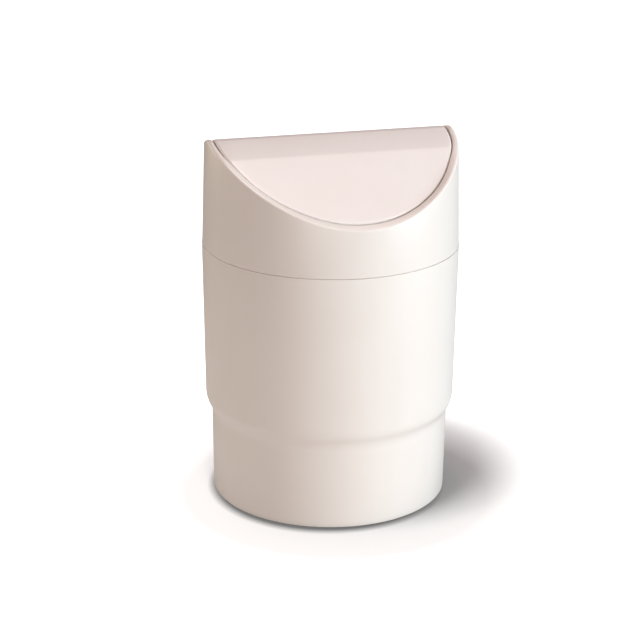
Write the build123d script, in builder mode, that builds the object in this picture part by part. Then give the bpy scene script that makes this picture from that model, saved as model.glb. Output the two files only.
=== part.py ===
from build123d import *
import os
from math import hypot, sqrt

# Table bin with a swing lid: a stepped tub, a collar with an arched mouth that lifts off the tub,
# and a roof-shaped flap that swings in the mouth.
# Sizes are millimetres. X runs along the ridge of the lid, -Y is the front, Z is up, Z = 0 is the table.

# tub, outside
foot_radius = 60.4
foot_bevel = 1.2
ankle_radius = 61.0
shoulder_low = 44.2  # the shoulder slopes out between these two heights, bevelled at both
shoulder_high = 49.8
shoulder_bevel = 2.2
hip_radius = 64.05
mouth_radius = 65.2
seam_height = 132.0  # mouth of the tub, where the collar sits
rim_bevel = 0.5

# tub, inside and underside
wall = 2.0
mouth_wall = 2.25  # the wall thickens a little towards the mouth
floor_height = 4.0
floor_bevel = 2.5
underside_radius = 55.0
underside_slope = 1.5
underside_depth = 1.6
gate_radius = 3.0
gate_depth = 0.5

# arched top shared by the collar and the flap, seen from the side
ridge_height = 188.0  # where the two flanks would meet without the ridge round
flank_radius = 158.0
flank_reach = 66.0
flank_foot = 154.0
ridge_round = 12.0

# collar
seam_gap = 0.3
collar_radius = 65.0
collar_top_radius = 63.25
collar_top = 190.0  # the cone runs past the ridge before the arch trims it
bore_radius = 60.9  # clear round opening inside the lip
lip_depth = 3.2
lip_bevel = 0.7
skirt_radius = 62.4
skirt_lead = 0.6
skirt_bore = 61.3
skirt_depth = 12.0
ledge_height = 2.0
ledge_slope = 3.5
key_count = 6  # thin keys that centre the skirt in the tub
key_start = 30.0
key_width = 1.6
key_height = 9.0
key_proud = 0.15

# pivots: blind sockets in bosses inside the collar, pins on the cheeks of the flap
pivot_height = 178.0
boss_radius = 5.0
boss_face = 57.3
boss_root = 63.0
socket_radius = 2.57
socket_end = 60.4
ramp_width = 5.0
ramp_deep = 1.7
ramp_shallow = 0.5
web_top_width = 7.6
web_foot_width = 2.0
web_face = 57.6
web_foot = 133.5
pin_radius = 2.5
pin_tip = 60.0
pin_chamfer = 0.6

# flap
flap_radius = 59.7
gable_ridge = 193.9  # where the planes of the two flat leaves would meet
leaf_fall = 0.614  # drop of a leaf for each unit outwards
leaf_reach = 66.0
flap_edge_bevel = 0.4
rib_depth = 4.0
rib_width = 1.4
rib_spots = (-38.0, -19.0, 19.0, 38.0)
hoop_radius = 57.0
hoop_gap = 24.0  # the hoop rib stops at the cheeks
cheek_inner = 54.9
cheek_outer = 56.9
eye_radius = 6.5
cheek_reach = 12.0
cheek_shoulder = 182.6
cheek_crown = 184.8
cheek_round = 1.2

reach = 80.0  # longer than any part, for cuts that go right through


def tub_outside():
    """Half section of the solid tub, with its foot and shoulder."""
    with BuildSketch(Plane.XZ) as section:
        with BuildLine():
            Polyline(
                (0, 0),
                (foot_radius, 0),
                (ankle_radius, shoulder_low),
                (hip_radius, shoulder_high),
                (mouth_radius, seam_height),
                (0, seam_height),
                close=True,
            )
        make_face()
        chamfer(section.vertices().filter_by_position(Axis.Y, shoulder_low, shoulder_high), shoulder_bevel)
        chamfer(section.vertices().group_by(Axis.Y)[0].sort_by(Axis.X)[-1], foot_bevel)
    return section.sketch


def tub_inside():
    """Half section of the space in the tub, one wall inside the outer faces."""
    with BuildSketch(Plane.XZ) as section:
        with BuildLine():
            Polyline(
                (0, floor_height),
                (foot_radius - wall, floor_height),
                (ankle_radius - wall, shoulder_low),
                (hip_radius - wall, shoulder_high),
                (mouth_radius - mouth_wall, seam_height),
                (0, seam_height),
                close=True,
            )
        make_face()
        chamfer(section.vertices().group_by(Axis.Y)[0].sort_by(Axis.X)[-1], floor_bevel)
    return section.sketch


def arch_region(drop):
    """Everything under the arched top, seen from the side, lowered by the drop."""
    foot = flank_foot - drop
    ridge = ridge_height - drop
    with BuildSketch(Plane.YZ) as region:
        with BuildLine():
            RadiusArc((-flank_reach, foot), (0, ridge), flank_radius)
            RadiusArc((0, ridge), (flank_reach, foot), flank_radius)
            Polyline((flank_reach, foot), (flank_reach, 0), (-flank_reach, 0), (-flank_reach, foot))
        make_face()
        fillet(region.vertices().sort_by(Axis.Y)[-1], ridge_round)
    return region.sketch


def gable_region(drop):
    """Everything under the planes of the two flat leaves, seen from the side, lowered by the drop."""
    ridge = gable_ridge - drop
    eave = ridge - leaf_fall * leaf_reach
    with BuildSketch(Plane.YZ) as region:
        with BuildLine():
            Polyline((-leaf_reach, 0), (-leaf_reach, eave), (0, ridge), (leaf_reach, eave), (leaf_reach, 0))
            Line((leaf_reach, 0), (-leaf_reach, 0))
        make_face()
    return region.sketch


def roof_block(drop):
    """Solid under the roof of the flap: rounded ridge band between two flat leaves."""
    with BuildPart() as block:
        extrude(arch_region(drop), amount=reach, both=True)
        extrude(gable_region(drop), amount=reach, both=True, mode=Mode.INTERSECT)
    return block.part


collar_foot = seam_height + seam_gap


def collar_plug(inset, drop):
    """Solid cone of the collar, moved in by the inset and trimmed by the lowered arch."""
    with BuildPart() as plug:
        with BuildSketch(Plane.XZ):
            with BuildLine():
                Polyline(
                    (0, collar_foot),
                    (collar_radius - inset, collar_foot),
                    (collar_top_radius - inset, collar_top),
                    (0, collar_top),
                    close=True,
                )
            make_face()
        revolve(axis=Axis.Z)
        extrude(arch_region(drop), amount=reach, both=True, mode=Mode.INTERSECT)
    return plug.part


# ---- tub
with BuildPart() as bin_body:
    revolve(tub_outside(), axis=Axis.Z)
    revolve(tub_inside(), axis=Axis.Z, mode=Mode.SUBTRACT)
    # hollow underside that leaves a foot ring
    with BuildSketch(Plane.XZ):
        with BuildLine():
            Polyline(
                (0, 0),
                (underside_radius, 0),
                (underside_radius - underside_slope, underside_depth),
                (0, underside_depth),
                close=True,
            )
        make_face()
    revolve(axis=Axis.Z, mode=Mode.SUBTRACT)
    # moulding gate, a dimple in the middle of the underside
    with BuildSketch(Plane.XY.offset(underside_depth)):
        Circle(gate_radius)
    extrude(amount=gate_depth, mode=Mode.SUBTRACT)
    rim_circles = bin_body.edges().filter_by(GeomType.CIRCLE).group_by(Axis.Z)[-1]
    chamfer(rim_circles.sort_by(SortBy.RADIUS)[-1], rim_bevel)
bin_body.part.label = "bin_body"

# ---- collar
collar_hollow = collar_plug(wall, lip_depth)

with BuildPart() as lid_ring:
    # a plug of the outside shape is bored through, bevelled along the rim, then hollowed under the lip
    add(collar_plug(0, 0))
    with BuildSketch(Plane.XY.offset(collar_foot)):
        Circle(bore_radius)
    extrude(amount=reach, mode=Mode.SUBTRACT)
    rim_edges = lid_ring.edges().filter_by(GeomType.BSPLINE)
    lip_middle = (bore_radius + collar_top_radius) / 2
    outer_edges = rim_edges.filter_by(lambda edge: hypot((edge @ 0.5).X, (edge @ 0.5).Y) > lip_middle)
    chamfer(outer_edges, lip_bevel)
    add(collar_hollow, mode=Mode.SUBTRACT)

    # skirt that drops into the tub, under a ledge that slopes inside
    with BuildSketch(Plane.XZ):
        with BuildLine():
            Polyline(
                (skirt_bore, collar_foot - skirt_depth),
                (skirt_radius - skirt_lead, collar_foot - skirt_depth),
                (skirt_radius, collar_foot - skirt_depth + skirt_lead),
                (skirt_radius, collar_foot),
                (collar_radius - wall / 2, collar_foot),
                (collar_radius - wall / 2, collar_foot + ledge_height + ledge_slope),
                (skirt_bore, collar_foot + ledge_height),
                close=True,
            )
        make_face()
    revolve(axis=Axis.Z)
    with BuildSketch(Plane.XY.offset(collar_foot - key_height)):
        with PolarLocations(skirt_radius + key_proud - wall / 4, key_count, start_angle=key_start):
            Rectangle(wall / 2, key_width)
    extrude(amount=key_height + ledge_height)

    # pivot bosses, each on a tapered web: a leaf that has swung just past upright meets its side
    for side in (-1, 1):
        with BuildSketch(Plane.YZ.offset(side * boss_face)):
            with Locations((0, pivot_height)):
                Circle(boss_radius)
        extrude(amount=side * (boss_root - boss_face))
        with BuildSketch(Plane.YZ.offset(side * web_face)):
            with BuildLine():
                Polyline(
                    (-web_foot_width / 2, web_foot),
                    (-web_top_width / 2, pivot_height),
                    (web_top_width / 2, pivot_height),
                    (web_foot_width / 2, web_foot),
                    close=True,
                )
            make_face()
        extrude(amount=side * (boss_root - web_face))
        with BuildSketch(Plane.YZ.offset(side * boss_face)):
            with Locations((0, pivot_height)):
                Circle(socket_radius)
        extrude(amount=side * (socket_end - boss_face), mode=Mode.SUBTRACT)
        # ramp that lets the pin slide up into its socket
        with BuildSketch(Plane.XZ):
            with BuildLine():
                Polyline(
                    (side * boss_face, pivot_height - boss_radius),
                    (side * (boss_face + ramp_deep), pivot_height - boss_radius),
                    (side * (boss_face + ramp_shallow), pivot_height),
                    (side * boss_face, pivot_height),
                    close=True,
                )
            make_face()
        extrude(amount=ramp_width / 2, both=True, mode=Mode.SUBTRACT)
lid_ring.part.label = "lid_ring"

# ---- flap
with BuildPart() as flap_ribs:
    with BuildSketch():
        Circle(hoop_radius)
        Circle(hoop_radius - rib_width, mode=Mode.SUBTRACT)
        Rectangle(2 * reach, hoop_gap, mode=Mode.SUBTRACT)
        for spot in rib_spots:
            with Locations((spot, 0)):
                Rectangle(rib_width, 2 * sqrt(hoop_radius**2 - spot**2) - rib_width)
        Rectangle(2 * cheek_outer - wall, rib_width)
    extrude(amount=ridge_height)
    add(roof_block(wall / 2), mode=Mode.INTERSECT)
    add(roof_block(wall + rib_depth), mode=Mode.SUBTRACT)

with BuildPart() as swing_flap:
    with BuildSketch():
        Circle(flap_radius)
    extrude(amount=ridge_height)
    add(roof_block(0), mode=Mode.INTERSECT)
    round_edges = swing_flap.edges().filter_by(GeomType.LINE, reverse=True)
    chamfer(round_edges.sort_by(Axis.Z)[1:], flap_edge_bevel)
    add(roof_block(wall), mode=Mode.SUBTRACT)
    add(flap_ribs.part)
    for side in (-1, 1):
        with BuildSketch(Plane.YZ.offset(side * cheek_inner)):
            with Locations((0, pivot_height)):
                Circle(eye_radius)
            with Locations((-cheek_reach, cheek_shoulder), (cheek_reach, cheek_shoulder), (0, cheek_crown)):
                Circle(cheek_round)
            make_hull()
        extrude(amount=side * (cheek_outer - cheek_inner))
        with BuildSketch(Plane.YZ.offset(side * cheek_outer)):
            with Locations((0, pivot_height)):
                Circle(pin_radius)
        extrude(amount=side * (pin_tip - cheek_outer))
    pin_ends = swing_flap.edges().filter_by(GeomType.CIRCLE).filter_by(
        lambda edge: abs(abs(edge.center().X) - pin_tip) < pin_chamfer / 2
    )
    chamfer(pin_ends, pin_chamfer)
swing_flap.part.label = "swing_flap"

os.makedirs("parts", exist_ok=True)
export_step(bin_body.part, "parts/bin_body.step")
export_step(lid_ring.part, "parts/lid_ring.step")
export_step(swing_flap.part, "parts/swing_flap.step")
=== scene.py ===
import bmesh
import bpy
import math
from mathutils import Matrix, Vector


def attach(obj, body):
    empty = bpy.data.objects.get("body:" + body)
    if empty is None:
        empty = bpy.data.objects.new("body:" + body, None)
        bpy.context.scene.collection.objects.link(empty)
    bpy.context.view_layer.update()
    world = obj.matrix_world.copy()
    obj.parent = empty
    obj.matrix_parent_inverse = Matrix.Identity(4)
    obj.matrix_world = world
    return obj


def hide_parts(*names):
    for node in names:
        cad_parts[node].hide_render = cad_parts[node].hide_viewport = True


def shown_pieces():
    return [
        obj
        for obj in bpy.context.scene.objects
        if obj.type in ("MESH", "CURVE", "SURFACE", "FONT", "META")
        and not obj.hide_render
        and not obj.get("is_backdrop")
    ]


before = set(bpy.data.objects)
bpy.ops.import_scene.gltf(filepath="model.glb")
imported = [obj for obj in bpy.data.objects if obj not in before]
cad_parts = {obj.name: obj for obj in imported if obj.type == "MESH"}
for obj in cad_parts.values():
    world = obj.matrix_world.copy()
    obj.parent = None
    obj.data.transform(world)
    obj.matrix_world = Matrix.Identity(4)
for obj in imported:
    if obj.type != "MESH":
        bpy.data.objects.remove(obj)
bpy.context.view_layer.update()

# Table bin with a swing lid: stepped tub, collar with an arched mouth, roof-shaped flap.
# The pieces' sizes are written in millimetres; the view, the studio and the scene are in metres.
mm = 0.001
scene = bpy.context.scene


viewpoint = {
    "place": (-0.257504, -0.894460, 0.417433),
    "aim": (0.25596, 0.90756, -0.33289),
    "right": (0.96307, -0.26920, 0.00656),
    "lens": 107.82,
}


def makeCamera(view):
    back = -Vector(view["aim"]).normalized()
    up = back.cross(Vector(view["right"])).normalized()
    right = up.cross(back)
    data = bpy.data.cameras.new("viewCamera")
    data.lens = view["lens"]
    data.clip_start = 0.01
    camera = bpy.data.objects.new("viewCamera", data)
    turn = Matrix((right, up, back)).transposed().to_4x4()
    camera.matrix_world = Matrix.Translation(Vector(view["place"])) @ turn
    scene.collection.objects.link(camera)
    return camera


scene.camera = makeCamera(viewpoint)
scene.view_settings.view_transform = "Standard"
print("camera placed")


class Socket:
    # one output of a node; sums written with it add Math nodes
    def __init__(self, tree, socket):
        self.tree = tree
        self.socket = socket

    def output(self, name):
        return Socket(self.tree, self.socket.node.outputs[name])

    def maths(self, operation, first, second=0.0):
        return self.tree.node("ShaderNodeMath", {"operation": operation}, {0: first, 1: second})

    def __add__(self, other):
        return self.maths("ADD", self, other)

    def __radd__(self, other):
        return self.maths("ADD", other, self)

    def __sub__(self, other):
        return self.maths("SUBTRACT", self, other)

    def __rsub__(self, other):
        return self.maths("SUBTRACT", other, self)

    def __mul__(self, other):
        return self.maths("MULTIPLY", self, other)

    def __rmul__(self, other):
        return self.maths("MULTIPLY", other, self)

    def __truediv__(self, other):
        return self.maths("DIVIDE", self, other)

    def __rtruediv__(self, other):
        return self.maths("DIVIDE", other, self)

    def __mod__(self, other):
        return self.maths("MODULO", self, other)

    def call(self, operation):
        return self.maths(operation, self)

    def above(self, limit):
        return self.maths("GREATER_THAN", self, limit)

    def clamped(self):
        return self.tree.node("ShaderNodeClamp", {}, {"Value": self})


class Tree:
    # builds a shader tree or a geometry tree, one node at a time; a list feeds a socket with many links
    def __init__(self, nodeTree):
        self.nodeTree = nodeTree

    def node(self, kind, settings=None, values=None, out=0):
        made = self.nodeTree.nodes.new(kind)
        for key, setting in (settings or {}).items():
            setattr(made, key, setting)
        for key, value in (values or {}).items():
            for each in value if isinstance(value, list) else [value]:
                self.feed(made.inputs[key], each)
        return Socket(self, made.outputs[out]) if len(made.outputs) else made

    def feed(self, entry, value):
        if isinstance(value, Socket):
            self.nodeTree.links.new(value.socket, entry)
        else:
            entry.default_value = value

    def mixColours(self, factor, first, second):
        values = {0: factor, 6: first, 7: second}  # the Mix node's colours are its sockets 6 and 7
        return self.node("ShaderNodeMix", {"data_type": "RGBA"}, values, 2)


def shaderTree(owner):
    owner.use_nodes = True
    owner.node_tree.nodes.clear()
    return Tree(owner.node_tree)


plastics = {
    "body": {
        "light": (0.805, 0.722, 0.666, 1),
        "deep": (0.775, 0.688, 0.630, 1),
        "roughness": 0.36,
        "seed": 1.7,
    },
    "collar": {
        "light": (0.803, 0.720, 0.664, 1),
        "deep": (0.775, 0.688, 0.630, 1),
        "roughness": 0.34,
        "seed": 4.2,
    },
    "flap": {
        "light": (0.822, 0.742, 0.698, 1),
        "deep": (0.794, 0.711, 0.664, 1),
        "roughness": 0.33,
        "seed": 7.9,
    },
}

# what the three mouldings have in common; a scale is noise cycles to the metre
surface = {
    "middleTone": 0.45,
    "cloudScale": 26,
    "cloudTone": 1.1,
    # faint upright marks of the flow in the mould
    "flowScale": 75,
    "flowStretch": (1, 1, 0.09),
    "flowTone": 0.9,
    "flowRelief": 0.05,
    "grainScale": 1900,
    "grainRelief": 0.010,
    "grainRoughness": 0.05,
    # where hands have dulled the gloss
    "smudgeScale": 48,
    "smudgeFrom": 0.52,
    "smudgeContrast": 6,
    "smudgeRoughness": 0.06,
    # rubbed foot
    "wearScale": 420,
    "wearHeight": 2.2,
    "wearColour": (0.50, 0.46, 0.43, 1),
    "wearShare": 0.5,
    "wearRoughness": 0.18,
    "waveScale": 60,
    "waveRelief": 0.16,
    "reliefDepth": 0.35,
    "refraction": 1.49,
}


def plasticMaterial(name, look):
    material = bpy.data.materials.new(name)
    tree = shaderTree(material)
    place = tree.node("ShaderNodeTexCoord", out="Object")
    height = tree.node("ShaderNodeSeparateXYZ", {}, {0: place}, "Z")

    def noise(scale, detail, stretch=(1, 1, 1)):
        where = {"Vector": place, "Scale": stretch, "Location": (look["seed"], 0, 0)}
        turned = tree.node("ShaderNodeMapping", {}, where)
        values = {"Vector": turned, "Scale": scale, "Detail": detail}
        return tree.node("ShaderNodeTexNoise", {"normalize": True}, values)

    cloud = noise(surface["cloudScale"], 3) - 0.5
    flow = noise(surface["flowScale"], 2, surface["flowStretch"])
    grain = noise(surface["grainScale"], 2)
    smudge = noise(surface["smudgeScale"], 4) - surface["smudgeFrom"]
    smudge = (smudge * surface["smudgeContrast"]).clamped()
    footWear = (1 - height / (surface["wearHeight"] * mm)).clamped()
    tone = cloud * surface["cloudTone"] + (flow - 0.5) * surface["flowTone"]
    tone = (tone + surface["middleTone"]).clamped()
    colour = tree.mixColours(tone, look["light"], look["deep"])
    wear = footWear * (noise(surface["wearScale"], 3) * surface["wearShare"])
    worn = tree.mixColours(wear, colour, surface["wearColour"])
    roughness = look["roughness"] + smudge * surface["smudgeRoughness"]
    roughness = roughness + (grain - 0.5) * surface["grainRoughness"]
    roughness = roughness + footWear * surface["wearRoughness"]
    wave = noise(surface["waveScale"], 1)
    relief = grain * surface["grainRelief"] + wave * surface["waveRelief"] + flow * surface["flowRelief"]
    values = {"Strength": 1.0, "Distance": surface["reliefDepth"] * mm, "Height": relief}
    bump = tree.node("ShaderNodeBump", {}, values)
    values = {"Base Color": worn, "Roughness": roughness.clamped(), "Normal": bump}
    values["IOR"] = surface["refraction"]
    shader = tree.node("ShaderNodeBsdfPrincipled", {}, values)
    tree.node("ShaderNodeOutputMaterial", {}, {"Surface": shader})
    return material


bodyPlastic = plasticMaterial("bodyPlastic", plastics["body"])
collarPlastic = plasticMaterial("collarPlastic", plastics["collar"])
flapPlastic = plasticMaterial("flapPlastic", plastics["flap"])
print("plastics made")


doubleGap = 0.0005 * mm  # points nearer than this are one point


def outward(mesh):
    # merges doubled points, then turns every face outwards
    work = bmesh.new()
    work.from_mesh(mesh)
    bmesh.ops.remove_doubles(work, verts=work.verts, dist=doubleGap)
    bmesh.ops.recalc_face_normals(work, faces=work.faces)
    work.to_mesh(mesh)
    work.free()


def closedMesh(name, points, faces):
    mesh = bpy.data.meshes.new(name)
    mesh.from_pydata([Vector(p) * mm for p in points], [], faces)
    outward(mesh)
    return mesh


def cappedSkin(name, rings):
    # closed skin through rings with the same number of points, with a face over each end
    count = len(rings[0])
    points = [p for ring in rings for p in ring]
    faces = [tuple(range(count)), tuple(range(len(points) - count, len(points)))]
    for i in range(len(rings) - 1):
        for k in range(count):
            m = (k + 1) % count
            faces.append((i * count + k, (i + 1) * count + k, (i + 1) * count + m, i * count + m))
    return closedMesh(name, points, faces)


def layeredMesh(name, layers):
    # skin through outlines in Y and Z, each at its own place along X
    return cappedSkin(name, [[(x, y, z) for y, z in outline] for x, outline in layers])


def placeObject(name, mesh, sharpAngle=28):
    mesh.shade_smooth()
    mesh.set_sharp_from_angle(angle=math.radians(sharpAngle))
    piece = bpy.data.objects.new(name, mesh)
    scene.collection.objects.link(piece)
    return piece


def joined(name, meshes):
    work = bmesh.new()
    for mesh in meshes:
        work.from_mesh(mesh)
    result = bpy.data.meshes.new(name)
    work.to_mesh(result)
    work.free()
    return result


def geometryTree(name, inputs):
    # a tree with one named input for each size, and the value that each input's socket takes
    group = bpy.data.node_groups.new(name, "GeometryNodeTree")
    group.interface.new_socket("Geometry", in_out="INPUT", socket_type="NodeSocketGeometry")
    group.interface.new_socket("Geometry", in_out="OUTPUT", socket_type="NodeSocketGeometry")
    entries = {}
    for label, (kind, value) in inputs.items():
        entry = group.interface.new_socket(label, in_out="INPUT", socket_type="NodeSocket" + kind)
        entries[entry.identifier] = value
    tree = Tree(group)
    start = tree.node("NodeGroupInput")
    return tree, start, entries


def endTree(tree, geometry, material):
    whole = tree.node("GeometryNodeRealizeInstances", {}, {"Geometry": geometry})
    dressed = tree.node("GeometryNodeSetMaterial", {}, {"Geometry": whole, "Material": material})
    tree.node("NodeGroupOutput", {}, {"Geometry": dressed})


def bakeTree(name, mesh, tree, entries):
    # runs the tree on the mesh and keeps the result as a plain object
    host = bpy.data.objects.new(name + "Host", mesh)
    scene.collection.objects.link(host)
    modifier = host.modifiers.new(name, "NODES")
    modifier.node_group = tree.nodeTree
    for identifier, value in entries.items():
        modifier[identifier] = value
    result = bpy.data.meshes.new_from_object(
        host.evaluated_get(bpy.context.evaluated_depsgraph_get()), preserve_all_data_layers=False
    )
    host.modifiers.remove(modifier)
    bpy.data.objects.remove(host)
    result.name = name
    return placeObject(name, result)


tub = {
    # radius, height and the rounding of each corner, from the middle of the underside
    "profile": [
        (0, 2.1, 0), (3, 2.1, 0.2), (3, 1.6, 0.2), (53.5, 1.6, 0.6), (55, 0, 0.4),
        (60.4, 0, 0.5), (61.0, 44.2, 12), (64.05, 49.8, 12), (65.2, 132, 0.22),
        (62.95, 132, 0.5), (62.05, 49.8, 10),
        (59.0, 44.2, 14), (58.4, 4, 3), (0, 4, 0),
    ],
    "segments": 288,
    "roundSteps": 7,
}


def latheTree():
    # rounds the profile's corners, then lays a grid round the axis with the profile at every segment
    inputs = {
        "Segments": ("Int", tub["segments"]),
        "Round Steps": ("Int", tub["roundSteps"]),
        "Material": ("Material", bodyPlastic),
    }
    tree, start, entries = geometryTree("tubLathe", inputs)
    line = tree.node("GeometryNodeMeshToCurve", {}, {"Mesh": start.output("Geometry")})
    rounding = tree.node("GeometryNodeInputNamedAttribute", {"data_type": "FLOAT"}, {"Name": "round"})
    values = {"Curve": line, "Count": start.output("Round Steps"), "Radius": rounding, "Limit Radius": True}
    profile = tree.node("GeometryNodeFilletCurve", {"mode": "POLY"}, values)
    outline = tree.node("GeometryNodeCurveToMesh", {}, {"Curve": profile})
    count = tree.node("GeometryNodeAttributeDomainSize", {"component": "MESH"}, {"Geometry": outline})
    segments = start.output("Segments")
    sheet = tree.node("GeometryNodeMeshGrid", {}, {"Vertices X": segments + 1, "Vertices Y": count})
    index = tree.node("GeometryNodeInputIndex")
    position = tree.node("GeometryNodeInputPosition")
    values = {"Geometry": outline, "Value": position, "Index": index % count}
    sample = tree.node("GeometryNodeSampleIndex", {"data_type": "FLOAT_VECTOR"}, values)
    radius = tree.node("ShaderNodeSeparateXYZ", {}, {0: sample}, "X")
    angle = (index / count).call("FLOOR") * math.tau / segments
    values = {"X": radius * angle.call("COSINE"), "Y": radius * angle.call("SINE"), "Z": radius.output("Z")}
    ringPlace = tree.node("ShaderNodeCombineXYZ", {}, values)
    turned = tree.node("GeometryNodeSetPosition", {}, {"Geometry": sheet, "Position": ringPlace})
    closed = tree.node("GeometryNodeMergeByDistance", {}, {"Geometry": turned, "Distance": doubleGap})
    endTree(tree, closed, start.output("Material"))
    return tree, entries


def makeTub():
    corners = tub["profile"]
    mesh = bpy.data.meshes.new("tubProfile")
    edges = [(i, i + 1) for i in range(len(corners) - 1)]
    mesh.from_pydata([(r * mm, 0, z * mm) for r, z, rounding in corners], edges, [])
    rounds = mesh.attributes.new("round", "FLOAT", "POINT")
    rounds.data.foreach_set("value", [rounding * mm for r, z, rounding in corners])
    tree, entries = latheTree()
    piece = bakeTree("tub", mesh, tree, entries)
    outward(piece.data)
    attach(piece, "tub")
    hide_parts("bin_body")


makeTub()
print("tub turned")


# the arched top that collar and flap share
arch = {
    "ridge": 188.0,
    "flankRadius": 158.0,
    "flankReach": 66.0,
    "flankFoot": 154.0,
    "ridgeRound": 12.0,
    "gableRidge": 193.9,
    "leafFall": 0.614,
    "creaseReach": 0.22,
    "creaseEase": 0.055,
    "inset": 0.4,
    "leafInset": 1.0,
    "insetRadius": 60.0,
    "insetReach": (14.0, 30.0),
}


def archHeight(y):
    # height of the arch seen from the side: two long arcs that meet in a rounded ridge
    drop = arch["ridge"] - arch["flankFoot"]
    chord = math.hypot(arch["flankReach"], drop)
    sink = math.sqrt(arch["flankRadius"] ** 2 - chord ** 2 / 4)
    centreY = arch["flankReach"] / 2 - sink * drop / chord
    centreZ = (arch["ridge"] + arch["flankFoot"]) / 2 - sink * arch["flankReach"] / chord
    inner = arch["flankRadius"] - arch["ridgeRound"]
    ridgeZ = centreZ + math.sqrt(inner ** 2 - centreY ** 2)
    if abs(y) < -centreY * arch["ridgeRound"] / inner:
        return ridgeZ + math.sqrt(arch["ridgeRound"] ** 2 - y * y)
    return centreZ + math.sqrt(arch["flankRadius"] ** 2 - (abs(y) - centreY) ** 2)


def leafHeight(y):
    # height of the flat leaves, carried on as a gable over the ridge
    return arch["gableRidge"] - arch["leafFall"] * abs(y)


def rimInset(angle):
    # the opening, and the flap in it, draw in a little beside the leaves
    near, far = arch["insetReach"]
    y = arch["insetRadius"] * abs(math.sin(angle))
    share = min(1.0, max(0.0, (y - near) / (far - near)))
    return arch["inset"] + arch["leafInset"] * share * share * (3 - 2 * share)


def roofHeight(y):
    # the flap: ridge band of the arch between two flat leaves, with a slightly eased crease
    crown, leaf = archHeight(y), leafHeight(y)
    ease = max(0.0, 1 - abs(crown - leaf) / arch["creaseReach"]) ** 2 * arch["creaseEase"]
    return min(crown, leaf) - ease


def roundedLoop(corners, steps):
    # closed outline with every corner rounded by its own radius
    points = []
    for i, (x, y, radius) in enumerate(corners):
        here = Vector((x, y))
        before = (Vector(corners[i - 1][:2]) - here).normalized()
        after = (Vector(corners[(i + 1) % len(corners)][:2]) - here).normalized()
        if radius == 0:
            points.append(here)
            continue
        half = before.angle(after) / 2
        reach = radius / math.tan(half)
        centre = here + (before + after).normalized() * (radius / math.sin(half))
        first = here + before * reach - centre
        last = here + after * reach - centre
        sweep = first.angle_signed(last)
        for k in range(steps + 1):
            turn = Matrix.Rotation(-sweep * k / steps, 2)
            points.append(centre + turn @ first)
    return points


def loopedTube(name, rings):
    # joins closed rings of points, the last to the first
    count = len(rings[0])
    points = [p for ring in rings for p in ring]
    faces = []
    for i in range(len(rings)):
        j = (i + 1) % len(rings)
        for k in range(count):
            m = (k + 1) % count
            faces.append((i * count + k, j * count + k, j * count + m, i * count + m))
    return closedMesh(name, points, faces)


collar = {
    "foot": 132.12,
    "radius": 65.0,
    "topRadius": 63.25,
    "top": 190.0,
    "wall": 2.0,
    "bore": 60.9,
    "lipDepth": 3.2,
    "lipEdge": 1.7,
    "rimDish": 0.75,
    "lipRound": 1.35,
    "lipInnerRound": 1.0,
    "footRound": 0.3,
    "skirtRadius": 62.4,
    "skirtBore": 61.3,
    "skirtDepth": 12.0,
    "skirtChamfer": 0.6,
    "slopeFoot": 2.0,
    "slopeTop": 4.05,
    "roundSteps": 6,
    "settleRounds": 30,
    "stepDegrees": 1.0,
    "ridgeDegrees": 6,
    "ridgeParts": 5,
}


def collarRadius(z):
    share = (z - collar["foot"]) / (collar["top"] - collar["foot"])
    return collar["radius"] + (collar["topRadius"] - collar["radius"]) * share


def wallTop(angle, inset, drop):
    # where the wall, moved in by the inset, meets the arch lowered by the drop, found by closing in on it
    z = collar["top"]
    for step in range(collar["settleRounds"]):
        z = archHeight((collarRadius(z) - inset) * math.sin(angle)) - drop
    return collarRadius(z) - inset, z


def collarSection(angle):
    foot = collar["foot"]
    outerTop = wallTop(angle, 0, 0)
    innerTop = wallTop(angle, collar["wall"], collar["lipDepth"])
    bore = collar["bore"] - rimInset(angle)
    archTop = archHeight(bore * math.sin(angle))
    leafDrop = max(0.0, archTop - leafHeight(bore * math.sin(angle)))
    boreTop = archTop - collar["rimDish"] * leafDrop
    skirtFoot = foot - collar["skirtDepth"]
    slopeFoot, slopeTop = foot + collar["slopeFoot"], foot + collar["slopeTop"]
    chamfer = collar["skirtChamfer"]
    # radius, height and rounding: up the outside, over the lip, down the inside and round the skirt
    corners = [
        (collar["radius"], foot, collar["footRound"]),
        (*outerTop, collar["lipRound"]),
        (bore, boreTop, collar["lipInnerRound"]),
        (bore, min(archTop - collar["lipDepth"], boreTop - collar["lipEdge"]), 0.25),
        (*innerTop, 0.6),
        (collarRadius(slopeTop) - collar["wall"], slopeTop, 1.0),
        (collar["skirtBore"], slopeFoot, 0.8),
        (collar["skirtBore"], skirtFoot, 0.2),
        (collar["skirtRadius"] - chamfer, skirtFoot, 0.3),
        (collar["skirtRadius"], skirtFoot + chamfer, 0.3),
        (collar["skirtRadius"], foot, 0.2),
    ]
    outline = roundedLoop(corners, collar["roundSteps"])
    return [(p.x * math.cos(angle), p.x * math.sin(angle), p.y) for p in outline]


def collarAngles():
    # even steps, and finer ones where the ridge crosses the wall
    step = collar["stepDegrees"]
    angles = []
    for i in range(int(360 / step)):
        degrees = i * step
        nearRidge = min(degrees % 180, 180 - degrees % 180) < collar["ridgeDegrees"]
        parts = collar["ridgeParts"] if nearRidge else 1
        angles += [math.radians(degrees + step * k / parts) for k in range(parts)]
    return angles


pivots = {
    "height": 178.0,
    "bossRadius": 5.0,
    "bossFace": 57.3,
    "bossRoot": 62.9,
    "socketRadius": 2.57,
    "socketEnd": 60.4,
    "rampWidth": 5.0,
    "rampDeep": 1.7,
    "rampShallow": 0.5,
    "webTopWidth": 7.6,
    "webFootWidth": 2.0,
    "webFace": 57.6,
    "webFoot": 133.5,
    "edgeRound": 0.3,
    "overcut": 1.0,
}


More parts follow.
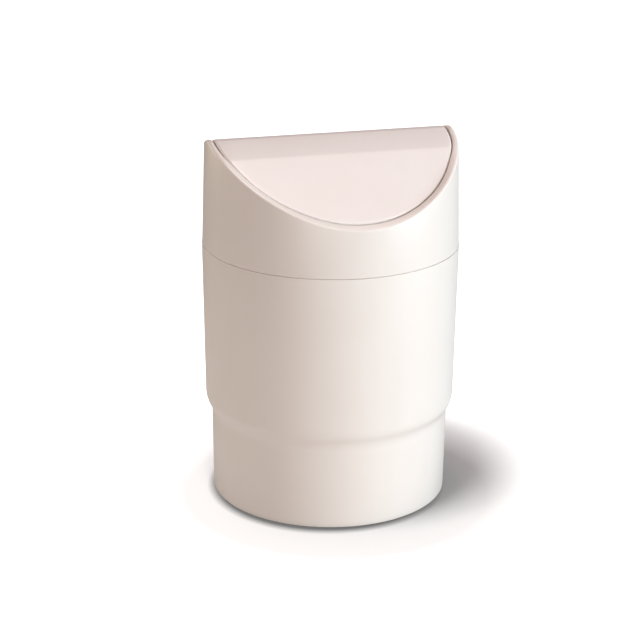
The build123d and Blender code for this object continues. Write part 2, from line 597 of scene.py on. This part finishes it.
def discOutline(radius, z, count=72):
    turns = [math.tau * i / count for i in range(count)]
    return [(radius * math.cos(t), z + radius * math.sin(t)) for t in turns]


def bossMesh(side):
    # socket boss on its web, with a ramp up which the pin slides as the flap is snapped in
    z, radius, overcut = pivots["height"], pivots["bossRadius"], pivots["overcut"]
    face, root = pivots["bossFace"], pivots["bossRoot"]

    def prism(name, outline, near, far):
        return layeredMesh(name, [(side * near, outline), (side * far, outline)])

    low, top = pivots["webFootWidth"] / 2, pivots["webTopWidth"] / 2
    web = [(-low, pivots["webFoot"]), (low, pivots["webFoot"]), (top, z), (-top, z)]
    hole = discOutline(pivots["socketRadius"], z)
    deep, shallow = face + pivots["rampDeep"], face + pivots["rampShallow"]
    ramp = [(face - overcut, z - radius - overcut), (deep, z - radius - overcut), (deep, z - radius)]
    ramp += [(shallow, z), (face - overcut, z)]
    half = pivots["rampWidth"] / 2
    rampRings = [[(side * x, y, h) for x, h in ramp] for y in (-half, half)]
    tools = [
        ("UNION", prism("web", web, pivots["webFace"], root)),
        ("DIFFERENCE", prism("socket", hole, face - overcut, pivots["socketEnd"])),
        ("DIFFERENCE", cappedSkin("ramp", rampRings)),
    ]
    boss = bpy.data.objects.new("bossHost", prism("boss", discOutline(radius, z), face, root))
    scene.collection.objects.link(boss)
    cutters = []
    for operation, mesh in tools:
        cutter = bpy.data.objects.new("bossTool", mesh)
        scene.collection.objects.link(cutter)
        cutters.append(cutter)
        modifier = boss.modifiers.new("shape", "BOOLEAN")
        modifier.operation = operation
        modifier.solver = "EXACT"
        modifier.object = cutter
    bevel = boss.modifiers.new("edges", "BEVEL")
    bevel.width = pivots["edgeRound"] * mm
    bevel.segments = 2
    bevel.angle_limit = math.radians(50)
    mesh = bpy.data.meshes.new_from_object(boss.evaluated_get(bpy.context.evaluated_depsgraph_get()))
    for extra in [boss, *cutters]:
        bpy.data.objects.remove(extra)
    return mesh


# upright keys round the skirt that centre it in the tub
keys = {
    "count": 6,
    "startDegrees": 30.0,
    "reach": 62.55,
    "depth": 1.0,
    "width": 1.6,
    "low": 123.3,
    "high": 134.0,
}


def keyTree():
    inputs = {
        "Count": ("Int", keys["count"]),
        "Start Angle": ("Float", math.radians(keys["startDegrees"])),
        "Ring Radius": ("Float", (keys["reach"] - keys["depth"] / 2) * mm),
        "Depth": ("Float", keys["depth"] * mm),
        "Width": ("Float", keys["width"] * mm),
        "Height": ("Float", (keys["high"] - keys["low"]) * mm),
        "Middle Height": ("Float", (keys["high"] + keys["low"]) / 2 * mm),
        "Material": ("Material", collarPlastic),
    }
    tree, start, entries = geometryTree("skirtKeys", inputs)
    count = start.output("Count")
    spots = tree.node("GeometryNodeMeshLine", {}, {"Count": count})
    index = tree.node("GeometryNodeInputIndex")
    angle = index * math.tau / count + start.output("Start Angle")
    radius = start.output("Ring Radius")
    values = {"X": radius * angle.call("COSINE"), "Y": radius * angle.call("SINE")}
    values["Z"] = start.output("Middle Height")
    ringPlace = tree.node("ShaderNodeCombineXYZ", {}, values)
    ring = tree.node("GeometryNodeSetPosition", {}, {"Geometry": spots, "Position": ringPlace})
    size = {"X": start.output("Depth"), "Y": start.output("Width"), "Z": start.output("Height")}
    block = tree.node("GeometryNodeMeshCube", {}, {"Size": tree.node("ShaderNodeCombineXYZ", {}, size)})
    turn = tree.node("ShaderNodeCombineXYZ", {}, {"Z": angle})
    values = {"Points": ring, "Instance": block, "Rotation": turn}
    copies = tree.node("GeometryNodeInstanceOnPoints", {}, values)
    both = tree.node("GeometryNodeJoinGeometry", {}, {"Geometry": [start.output("Geometry"), copies]})
    endTree(tree, both, start.output("Material"))
    return tree, entries


def makeCollar():
    ring = loopedTube("collarRing", [collarSection(angle) for angle in collarAngles()])
    mesh = joined("collarParts", [ring, bossMesh(-1), bossMesh(1)])
    tree, entries = keyTree()
    piece = bakeTree("collar", mesh, tree, entries)
    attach(piece, "collar")
    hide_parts("lid_ring")


makeCollar()
print("collar moulded")


flap = {
    "radius": 60.05,
    "swell": 0.6,
    "swellReach": 52.0,
    "wall": 2.0,
    "edgeRound": 1.35,
    "edgeSteps": 6,
    "halfSteps": 150,
    "leastStep": 0.0004,
    "columns": 20,
    "creaseRows": (-0.45, -0.3, -0.15, 0, 0.15, 0.3, 0.45),
    "ridgeRows": (0.6, 1.2, 1.8, 2.4, 3.0, 3.6),
    "cheekInner": 54.9,
    "cheekOuter": 56.9,
    "eyeRadius": 6.5,
    "cheekReach": 12.0,
    "cheekShoulder": 182.6,
    "cheekCrown": 184.8,
    "cheekRound": 1.2,
    "cheekEase": 0.25,
    "cheekMiddle": 180.0,
    "pinRadius": 2.5,
    "pinRoot": 55.7,
    "pinTip": 60.0,
    "pinChamfer": 0.6,
    "pinSides": 48,
}


def flapRadius(angle):
    # the edge comes closest to the rim where the swing leaves it room
    share = min(1.0, abs(flap["radius"] * math.sin(angle)) / flap["swellReach"])
    return flap["radius"] - rimInset(angle) + flap["swell"] * math.sin(math.pi * share) ** 2


def flapAngles():
    # even steps over a quarter turn each way from the ridge, with more rows by the ridge and the crease
    step = math.pi / 2 / flap["halfSteps"]
    angles = {round(i * step, 9) for i in range(-flap["halfSteps"], flap["halfSteps"] + 1)}
    crease = next(y / 100 for y in range(1000, 4000) if archHeight(y / 100) > leafHeight(y / 100))
    for y in [crease + offset for offset in flap["creaseRows"]] + list(flap["ridgeRows"]):
        turn = math.asin(y / flap["radius"])
        angles |= {round(turn, 9), round(-turn, 9)}
    ordered = sorted(angles)
    return [a for i, a in enumerate(ordered) if i == 0 or a - ordered[i - 1] > flap["leastStep"]]


def flapRim(angle):
    # outline of the edge in the upright plane through the axis: rounded top edge, then down the side
    radius = flapRadius(angle)
    y = radius * math.sin(angle)
    nudge = 0.02
    slope = (roofHeight(y) - roofHeight(y - nudge * math.sin(angle))) / nudge if abs(y) > nudge else 0.0
    tilt = math.atan(slope)
    size = flap["edgeRound"]
    centreR = radius - size
    centreZ = roofHeight(y) - slope * size - size / math.cos(tilt)
    rim = []
    for k in range(flap["edgeSteps"] + 1):
        turn = (math.pi / 2 + tilt) * (1 - k / flap["edgeSteps"])
        rim.append((centreR + size * math.cos(turn), centreZ + size * math.sin(turn)))
    return rim


def flapShell():
    # rows run along the ridge from edge to edge, so every row is straight and level
    angles = flapAngles()
    columns = flap["columns"]
    points = []
    index = {}

    def vertex(key, place=None):
        if key not in index:
            index[key] = len(points)
            points.append(place)
        return index[key]

    def rowPoints(i, layer):
        angle = angles[i]
        if layer == "top":
            radius, z = flapRim(angle)[0]
        else:
            radius = flapRadius(angle)
            z = roofHeight(radius * math.sin(angle)) - flap["wall"]
        half, y = radius * math.cos(angle), radius * math.sin(angle)
        return [vertex((layer, i, c), (half * (2 * c / columns - 1), y, z)) for c in range(columns + 1)]

    def rimPoints(i, side):
        turn = angles[i] if side > 0 else math.pi - angles[i]
        last = columns if side > 0 else 0
        column = [vertex(("top", i, last))]
        for k, (radius, z) in enumerate(flapRim(angles[i])[1:]):
            column.append(vertex((side, i, k), (radius * math.cos(turn), radius * math.sin(turn), z)))
        return column + [vertex(("low", i, last))]

    faces = []
    for i in range(len(angles) - 1):
        for layer in ("top", "low"):
            a, b = rowPoints(i, layer), rowPoints(i + 1, layer)
            faces += [(a[c], a[c + 1], b[c + 1], b[c]) for c in range(columns)]
        for side in (1, -1):
            a, b = rimPoints(i, side), rimPoints(i + 1, side)
            faces += [(a[k], b[k], b[k + 1], a[k + 1]) for k in range(len(a) - 1)]
    return closedMesh("flapShell", points, faces)


def hullOutline(circles, count=24):
    # convex outline round a few circles given as y, z and radius
    cloud = []
    for y, z, radius in circles:
        turns = [math.tau * k / count for k in range(count)]
        cloud += [(round(y + radius * math.cos(t), 6), round(z + radius * math.sin(t), 6)) for t in turns]
    cloud = sorted(set(cloud))

    def chain(points):
        line = []
        for p in points:
            while len(line) > 1:
                (ax, ay), (bx, by) = line[-2], line[-1]
                if (bx - ax) * (p[1] - ay) - (by - ay) * (p[0] - ax) > 0:
                    break
                line.pop()
            line.append(p)
        return line[:-1]

    return chain(cloud) + chain(cloud[::-1])


def cheekMesh(side):
    # plate between shell and pin: round below, spreading to a flat top, with eased edges
    reach, shoulder, size = flap["cheekReach"], flap["cheekShoulder"], flap["cheekRound"]
    circles = [(0, pivots["height"], flap["eyeRadius"]), (0, flap["cheekCrown"], size)]
    circles += [(-reach, shoulder, size), (reach, shoulder, size)]
    outline = hullOutline(circles)
    ease = flap["cheekEase"]
    middle = Vector((0, flap["cheekMiddle"]))
    inset = []
    for y, z in outline:
        inward = (middle - Vector((y, z))).normalized() * ease
        inset.append((y + inward.x, z + inward.y))
    near, far = side * flap["cheekInner"], side * flap["cheekOuter"]
    layers = [(near, inset), (near + side * ease, outline), (far - side * ease, outline), (far, inset)]
    return layeredMesh("cheek", layers)


def pinMesh(side):
    # pin with a chamfered tip, rooted inside the cheek
    radius, chamfer, tip = flap["pinRadius"], flap["pinChamfer"], flap["pinTip"]
    full = discOutline(radius, pivots["height"], flap["pinSides"])
    small = discOutline(radius - chamfer, pivots["height"], flap["pinSides"])
    layers = [(side * flap["pinRoot"], full), (side * (tip - chamfer), full), (side * tip, small)]
    return layeredMesh("pin", layers)


# ribs under the shell; the crossing ones end at a hoop with a gap beside each cheek
ribs = {
    "spacing": 19.0,
    "count": 5,
    "width": 1.4,
    "depth": 4.0,
    "overlap": 1.0,
    "hoopRadius": 57.0,
    "hoopGap": 24.0,
    "pivotRib": 111.8,
    "samples": 120,
}


def ribTree():
    inputs = {
        "Spacing": ("Float", ribs["spacing"] * mm),
        "Count": ("Int", ribs["count"]),
        "Width": ("Float", ribs["width"] * mm),
        "Depth": ("Float", ribs["depth"] * mm),
        "Overlap": ("Float", ribs["overlap"] * mm),
        "Hoop Radius": ("Float", ribs["hoopRadius"] * mm),
        "Hoop Gap": ("Float", ribs["hoopGap"] * mm),
        "Pivot Rib": ("Float", ribs["pivotRib"] * mm),
        "Samples": ("Int", ribs["samples"]),
        "Material": ("Material", flapPlastic),
    }
    tree, start, entries = geometryTree("flapRibs", inputs)
    width = start.output("Width")
    hoopRadius = start.output("Hoop Radius")
    samples = start.output("Samples")

    def vector(x=0.0, y=0.0, z=0.0):
        return tree.node("ShaderNodeCombineXYZ", {}, {"X": x, "Y": y, "Z": z})

    def splitPlace(axis):
        return tree.node("ShaderNodeSeparateXYZ", {}, {0: tree.node("GeometryNodeInputPosition")}, axis)

    # ribs across the ridge, each as long as the hoop is wide there, none in the middle
    count = start.output("Count")
    spacing = start.output("Spacing")
    values = {"Count": count, "Offset": vector(x=spacing)}
    values["Start Location"] = vector(x=spacing * (count - 1) * -0.5)
    spots = tree.node("GeometryNodeMeshLine", {}, values)
    middle = 1 - splitPlace("X").call("ABSOLUTE").above(spacing * 0.5)
    spots = tree.node("GeometryNodeDeleteGeometry", {}, {"Geometry": spots, "Selection": middle})
    x = splitPlace("X")
    length = (hoopRadius * hoopRadius - x * x).call("SQRT") * 2 - width
    unit = tree.node("GeometryNodeCurvePrimitiveLine", {}, {"Start": (0, -0.5, 0), "End": (0, 0.5, 0)})
    values = {"Points": spots, "Instance": unit, "Scale": vector(1.0, length, 1.0)}
    across = tree.node("GeometryNodeInstanceOnPoints", {}, values)
    across = tree.node("GeometryNodeRealizeInstances", {}, {"Geometry": across})
    # one rib along the ridge between the cheeks
    half = start.output("Pivot Rib") * 0.5
    along = {"Start": vector(x=half * -1), "End": vector(x=half)}
    along = tree.node("GeometryNodeCurvePrimitiveLine", {}, along)
    # hoop in two arcs that stop short of the cheeks
    hoopMiddle = hoopRadius - width * 0.5
    gapAngle = (start.output("Hoop Gap") * 0.5 / hoopMiddle).call("ARCSINE")
    arcs = []
    for turn in (0.0, math.pi):
        values = {"Resolution": samples, "Radius": hoopMiddle, "Start Angle": gapAngle + turn}
        values["Sweep Angle"] = math.pi - gapAngle * 2
        arcs.append(tree.node("GeometryNodeCurveArc", {}, values))
    lines = tree.node("GeometryNodeJoinGeometry", {}, {"Geometry": [across, along, *arcs]})
    lines = tree.node("GeometryNodeResampleCurve", {}, {"Curve": lines, "Count": samples})
    # lift every line to the underside of the shell
    values = {"Target Geometry": start.output("Geometry"), "Ray Direction": (0, 0, 1), "Ray Length": 1.0}
    hit = tree.node("GeometryNodeRaycast", {}, values, "Hit Position")
    height = tree.node("ShaderNodeSeparateXYZ", {}, {0: hit}, "Z")
    sunk = height + (start.output("Overlap") - start.output("Depth")) * 0.5
    lifted = vector(splitPlace("X"), splitPlace("Y"), sunk)
    lines = tree.node("GeometryNodeSetPosition", {}, {"Geometry": lines, "Position": lifted})
    lines = tree.node("GeometryNodeSetCurveNormal", {"mode": "Z_UP"}, {"Curve": lines})
    tall = start.output("Depth") + start.output("Overlap")
    bar = tree.node("GeometryNodeCurvePrimitiveQuadrilateral", {}, {"Width": width, "Height": tall})
    bars = tree.node(
        "GeometryNodeCurveToMesh", {}, {"Curve": lines, "Profile Curve": bar, "Fill Caps": True}
    )
    both = tree.node("GeometryNodeJoinGeometry", {}, {"Geometry": [start.output("Geometry"), bars]})
    endTree(tree, both, start.output("Material"))
    return tree, entries


def makeFlap():
    tree, entries = ribTree()
    shell = bakeTree("flapWithRibs", flapShell(), tree, entries)
    parts = [make(side) for side in (-1, 1) for make in (cheekMesh, pinMesh)]
    mesh = joined("flap", [shell.data, *parts])
    bpy.data.objects.remove(shell)
    mesh.materials.append(flapPlastic)
    piece = placeObject("flap", mesh)
    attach(piece, "flap")
    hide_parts("swing_flap")


makeFlap()
print("flap moulded")


studio = {
    "floorHalf": 6.0,
    "lampAim": (0, 0, 0.09),
    "paper": (0.40, 0.40, 0.40, 1),
    # what glossy surfaces mirror of the world
    "reflection": (0.15, 0.15, 0.15, 1),
    # painted contact shadow: darker paper, for the camera only, where the foot meets it
    "shade": (0.02, 0.02, 0.02, 1),
    "shadeReach": (0.0566, 0.0624),
    "shadeCentre": (-0.0029, -0.0052, 0),
    # what the paper throws back at the pieces
    "bounce": (0.265, 0.265, 0.265, 1),
    # glow that only the camera sees: weak by the bin, so that its shadow stays, and white far off
    "nearGlow": (0.15, 0.148, 0.144, 1),
    "farGlow": (0.9, 0.9, 0.9, 1),
    "glowReach": (0.078, 0.152),
    "glowCentre": (0.0004, -0.0150, 0),
    "keyLamp": {
        "kind": "AREA", "shape": "SQUARE", "size": 0.8,
        "energy": 21.8, "colour": (0.87, 1.005, 1.085), "place": (1.084, -0.836, 0.381),
    },
    "fillLamp": {
        "kind": "AREA", "shape": "SQUARE", "size": 0.8,
        "energy": 8.7, "colour": (1.0, 0.915, 0.855), "place": (-0.599, -1.242, 0.333),
    },
    "rimLamp": {
        "kind": "AREA", "shape": "SQUARE", "size": 0.6,
        "energy": 4.3, "colour": (1.0, 0.92, 0.68), "place": (-0.933, 1.024, 0.285),
    },
    "lowLamp": {
        "kind": "AREA", "shape": "RECTANGLE", "size": 0.22, "sizeAcross": 0.5,
        "energy": 0.06, "colour": (1.0, 0.88, 0.80), "place": (-0.19, 0.05, 0.004),
        "aim": (-0.19, 0.05, 1.0),
    },
    "topLamp": {
        "kind": "SUN", "angle": 18.0,
        "energy": 1.60, "colour": (1.11, 0.96, 0.95), "place": (-0.066, 0.081, 1.084),
    },
    "floorLamp": {
        "kind": "AREA", "shape": "DISK", "size": 0.25,
        "energy": 19.8, "colour": (1.0, 0.995, 0.99), "place": (-0.177, -0.123, 1.15),
    },
}


def makeWorld():
    # white for the camera, grey in reflections, dark for everything else
    world = bpy.data.worlds.new("studioWorld")
    scene.world = world
    tree = shaderTree(world)
    path = tree.node("ShaderNodeLightPath")
    seen = tree.mixColours(path.output("Is Glossy Ray"), (0, 0, 0, 1), studio["reflection"])
    seen = tree.mixColours(path.output("Is Camera Ray"), seen, (1, 1, 1, 1))
    sky = tree.node("ShaderNodeBackground", {}, {"Color": seen, "Strength": 1.0})
    tree.node("ShaderNodeOutputWorld", {}, {"Surface": sky})


def floorMaterial():
    material = bpy.data.materials.new("floorPaper")
    tree = shaderTree(material)
    seen = tree.node("ShaderNodeLightPath").output("Is Camera Ray")
    place = tree.node("ShaderNodeTexCoord", out="Object")

    def spread(centre, reach):
        # nothing up to the near distance from the centre, and all past the far one
        near, far = reach
        values = {0: place, 1: centre}
        distance = tree.node("ShaderNodeVectorMath", {"operation": "DISTANCE"}, values, "Value")
        return ((distance - near) / (far - near)).clamped()

    glowShare = spread(studio["glowCentre"], studio["glowReach"])
    glowColour = tree.mixColours(glowShare, studio["nearGlow"], studio["farGlow"])
    # painted contact shadow on the paper round the foot, seen by the camera only
    shadeShare = spread(studio["shadeCentre"], studio["shadeReach"])
    shaded = tree.mixColours(shadeShare, studio["shade"], studio["paper"])
    paperColour = tree.mixColours(seen, studio["bounce"], shaded)
    paper = tree.node("ShaderNodeBsdfDiffuse", {}, {"Color": paperColour})
    none = tree.node("ShaderNodeEmission", {}, {"Color": (0, 0, 0, 1), "Strength": 0.0})
    glow = tree.node("ShaderNodeEmission", {}, {"Color": glowColour, "Strength": 1.0})
    lift = tree.node("ShaderNodeMixShader", {}, {0: seen, 1: none, 2: glow})
    lit = tree.node("ShaderNodeAddShader", {}, {0: paper, 1: lift})
    tree.node("ShaderNodeOutputMaterial", {}, {"Surface": lit})
    return material


def makeFloor():
    mesh = bpy.data.meshes.new("floor")
    half = studio["floorHalf"]
    corners = [(-half, -half, 0), (half, -half, 0), (half, half, 0), (-half, half, 0)]
    mesh.from_pydata(corners, [], [(0, 1, 2, 3)])
    mesh.materials.append(floorMaterial())
    floor = bpy.data.objects.new("floor", mesh)
    scene.collection.objects.link(floor)
    floor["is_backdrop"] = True
    return floor


def makeLamp(name, receivers=()):
    # with receivers, the lamp lights those alone
    lamp = studio[name]
    data = bpy.data.lights.new(name, lamp["kind"])
    if lamp["kind"] == "SUN":
        data.angle = math.radians(lamp["angle"])
    else:
        data.shape = lamp["shape"]
        data.size = lamp["size"]
        data.size_y = lamp.get("sizeAcross", lamp["size"])
    data.energy = lamp["energy"]
    data.color = lamp["colour"]
    light = bpy.data.objects.new(name, data)
    light.location = lamp["place"]
    back = light.location - Vector(lamp.get("aim", studio["lampAim"]))
    light.rotation_euler = back.to_track_quat("Z", "Y").to_euler()
    light.visible_camera = False
    scene.collection.objects.link(light)
    if receivers:
        group = bpy.data.collections.new(name + "Receivers")
        for receiver in receivers:
            group.objects.link(receiver)
        light.light_linking.receiver_collection = group


makeWorld()
floor = makeFloor()
for lampName in ("keyLamp", "fillLamp", "rimLamp", "lowLamp"):
    makeLamp(lampName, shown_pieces())
makeLamp("floorLamp", [floor])
makeLamp("topLamp")
print("studio lit")
